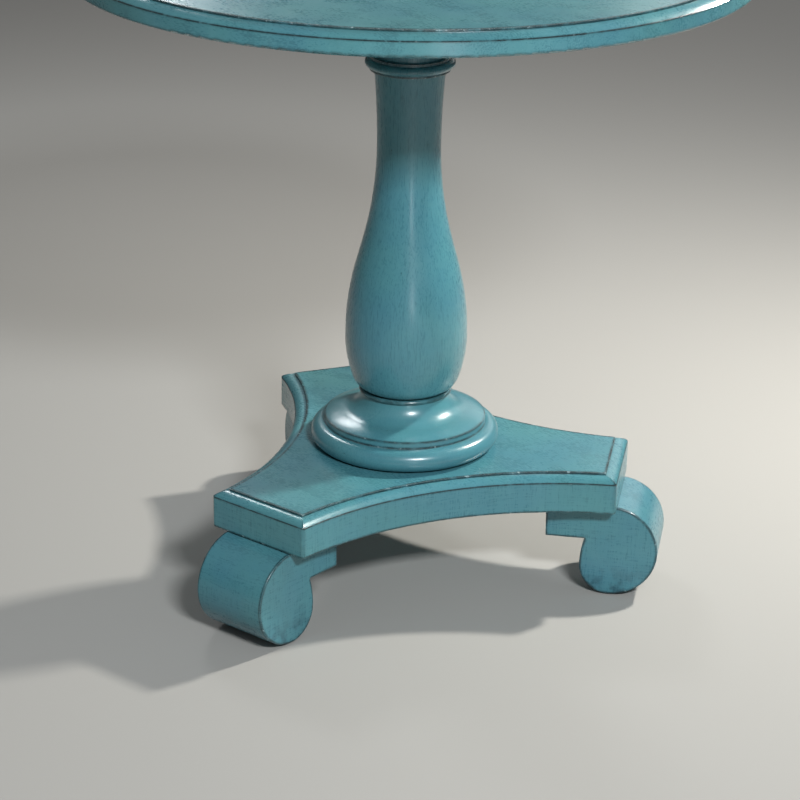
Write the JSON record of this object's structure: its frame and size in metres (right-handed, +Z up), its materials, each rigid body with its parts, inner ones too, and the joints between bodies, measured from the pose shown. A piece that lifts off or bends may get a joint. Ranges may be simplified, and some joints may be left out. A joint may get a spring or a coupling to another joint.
{
  "type": "tilt top table",
  "caption": "Round pedestal table with a tilting top, a turned vase column and a three-armed moulded plinth on scroll feet.",
  "frame": {"origin": "on the floor, under the column's axis", "axes": "+Z up along the column, -Y the front, where one leg points; the rear edge of the top (+Y) rises when it is tilted"},
  "size_m": [0.762, 0.762, 0.74],
  "materials": {
    "painted_wood": "satin teal paint with a dark glaze in the crevices and rubbed edges",
    "bare_wood": "plain beech dowel",
    "glide_nylon": "dark brown nylon",
    "zinc_steel": "zinc-plated steel",
    "brass": "lacquered brass",
    "spring_steel": "blued spring steel"
  },
  "bodies": {
    "base": {"base_ring": "painted_wood", "capital": "painted_wood", "column": "painted_wood", "column_dowels": "bare_wood", "foot_dowels": "bare_wood", "foot_glides": "glide_nylon", "foot_screws": "zinc_steel", "ogee_collar": "painted_wood", "pivot_block": "painted_wood", "pivot_bolt_left": "brass", "pivot_bolt_right": "brass", "pivot_washers": "brass", "plinth": "painted_wood", "rod_nuts": "zinc_steel", "rod_washers": "zinc_steel", "scroll_foot_1": "painted_wood", "scroll_foot_2": "painted_wood", "scroll_foot_3": "painted_wood", "strike_plate": "brass", "strike_screws": "brass", "tie_rod": "zinc_steel"},
    "top": {"top_board": "painted_wood", "bearer_left": "painted_wood", "bearer_right": "painted_wood", "bearer_screws": "zinc_steel", "pivot_bush_left": "brass", "pivot_bush_right": "brass", "catch_plate": "brass", "catch_screws": "brass", "catch_spring": "spring_steel"},
    "catch": {"catch_bolt": "brass", "catch_knob": "brass"}
  },
  "joints": [
    {"name": "top_tilt", "type": "hinge", "parent": "base", "child": "top", "pos_m": [0, -0.0825, 0.696], "axis": [1, 0, 0], "range_deg": [0, 90]},
    {"name": "catch_slide", "type": "slide", "parent": "top", "child": "catch", "axis": [0, -1, 0], "range_m": [0, 0.01]}
  ]
}
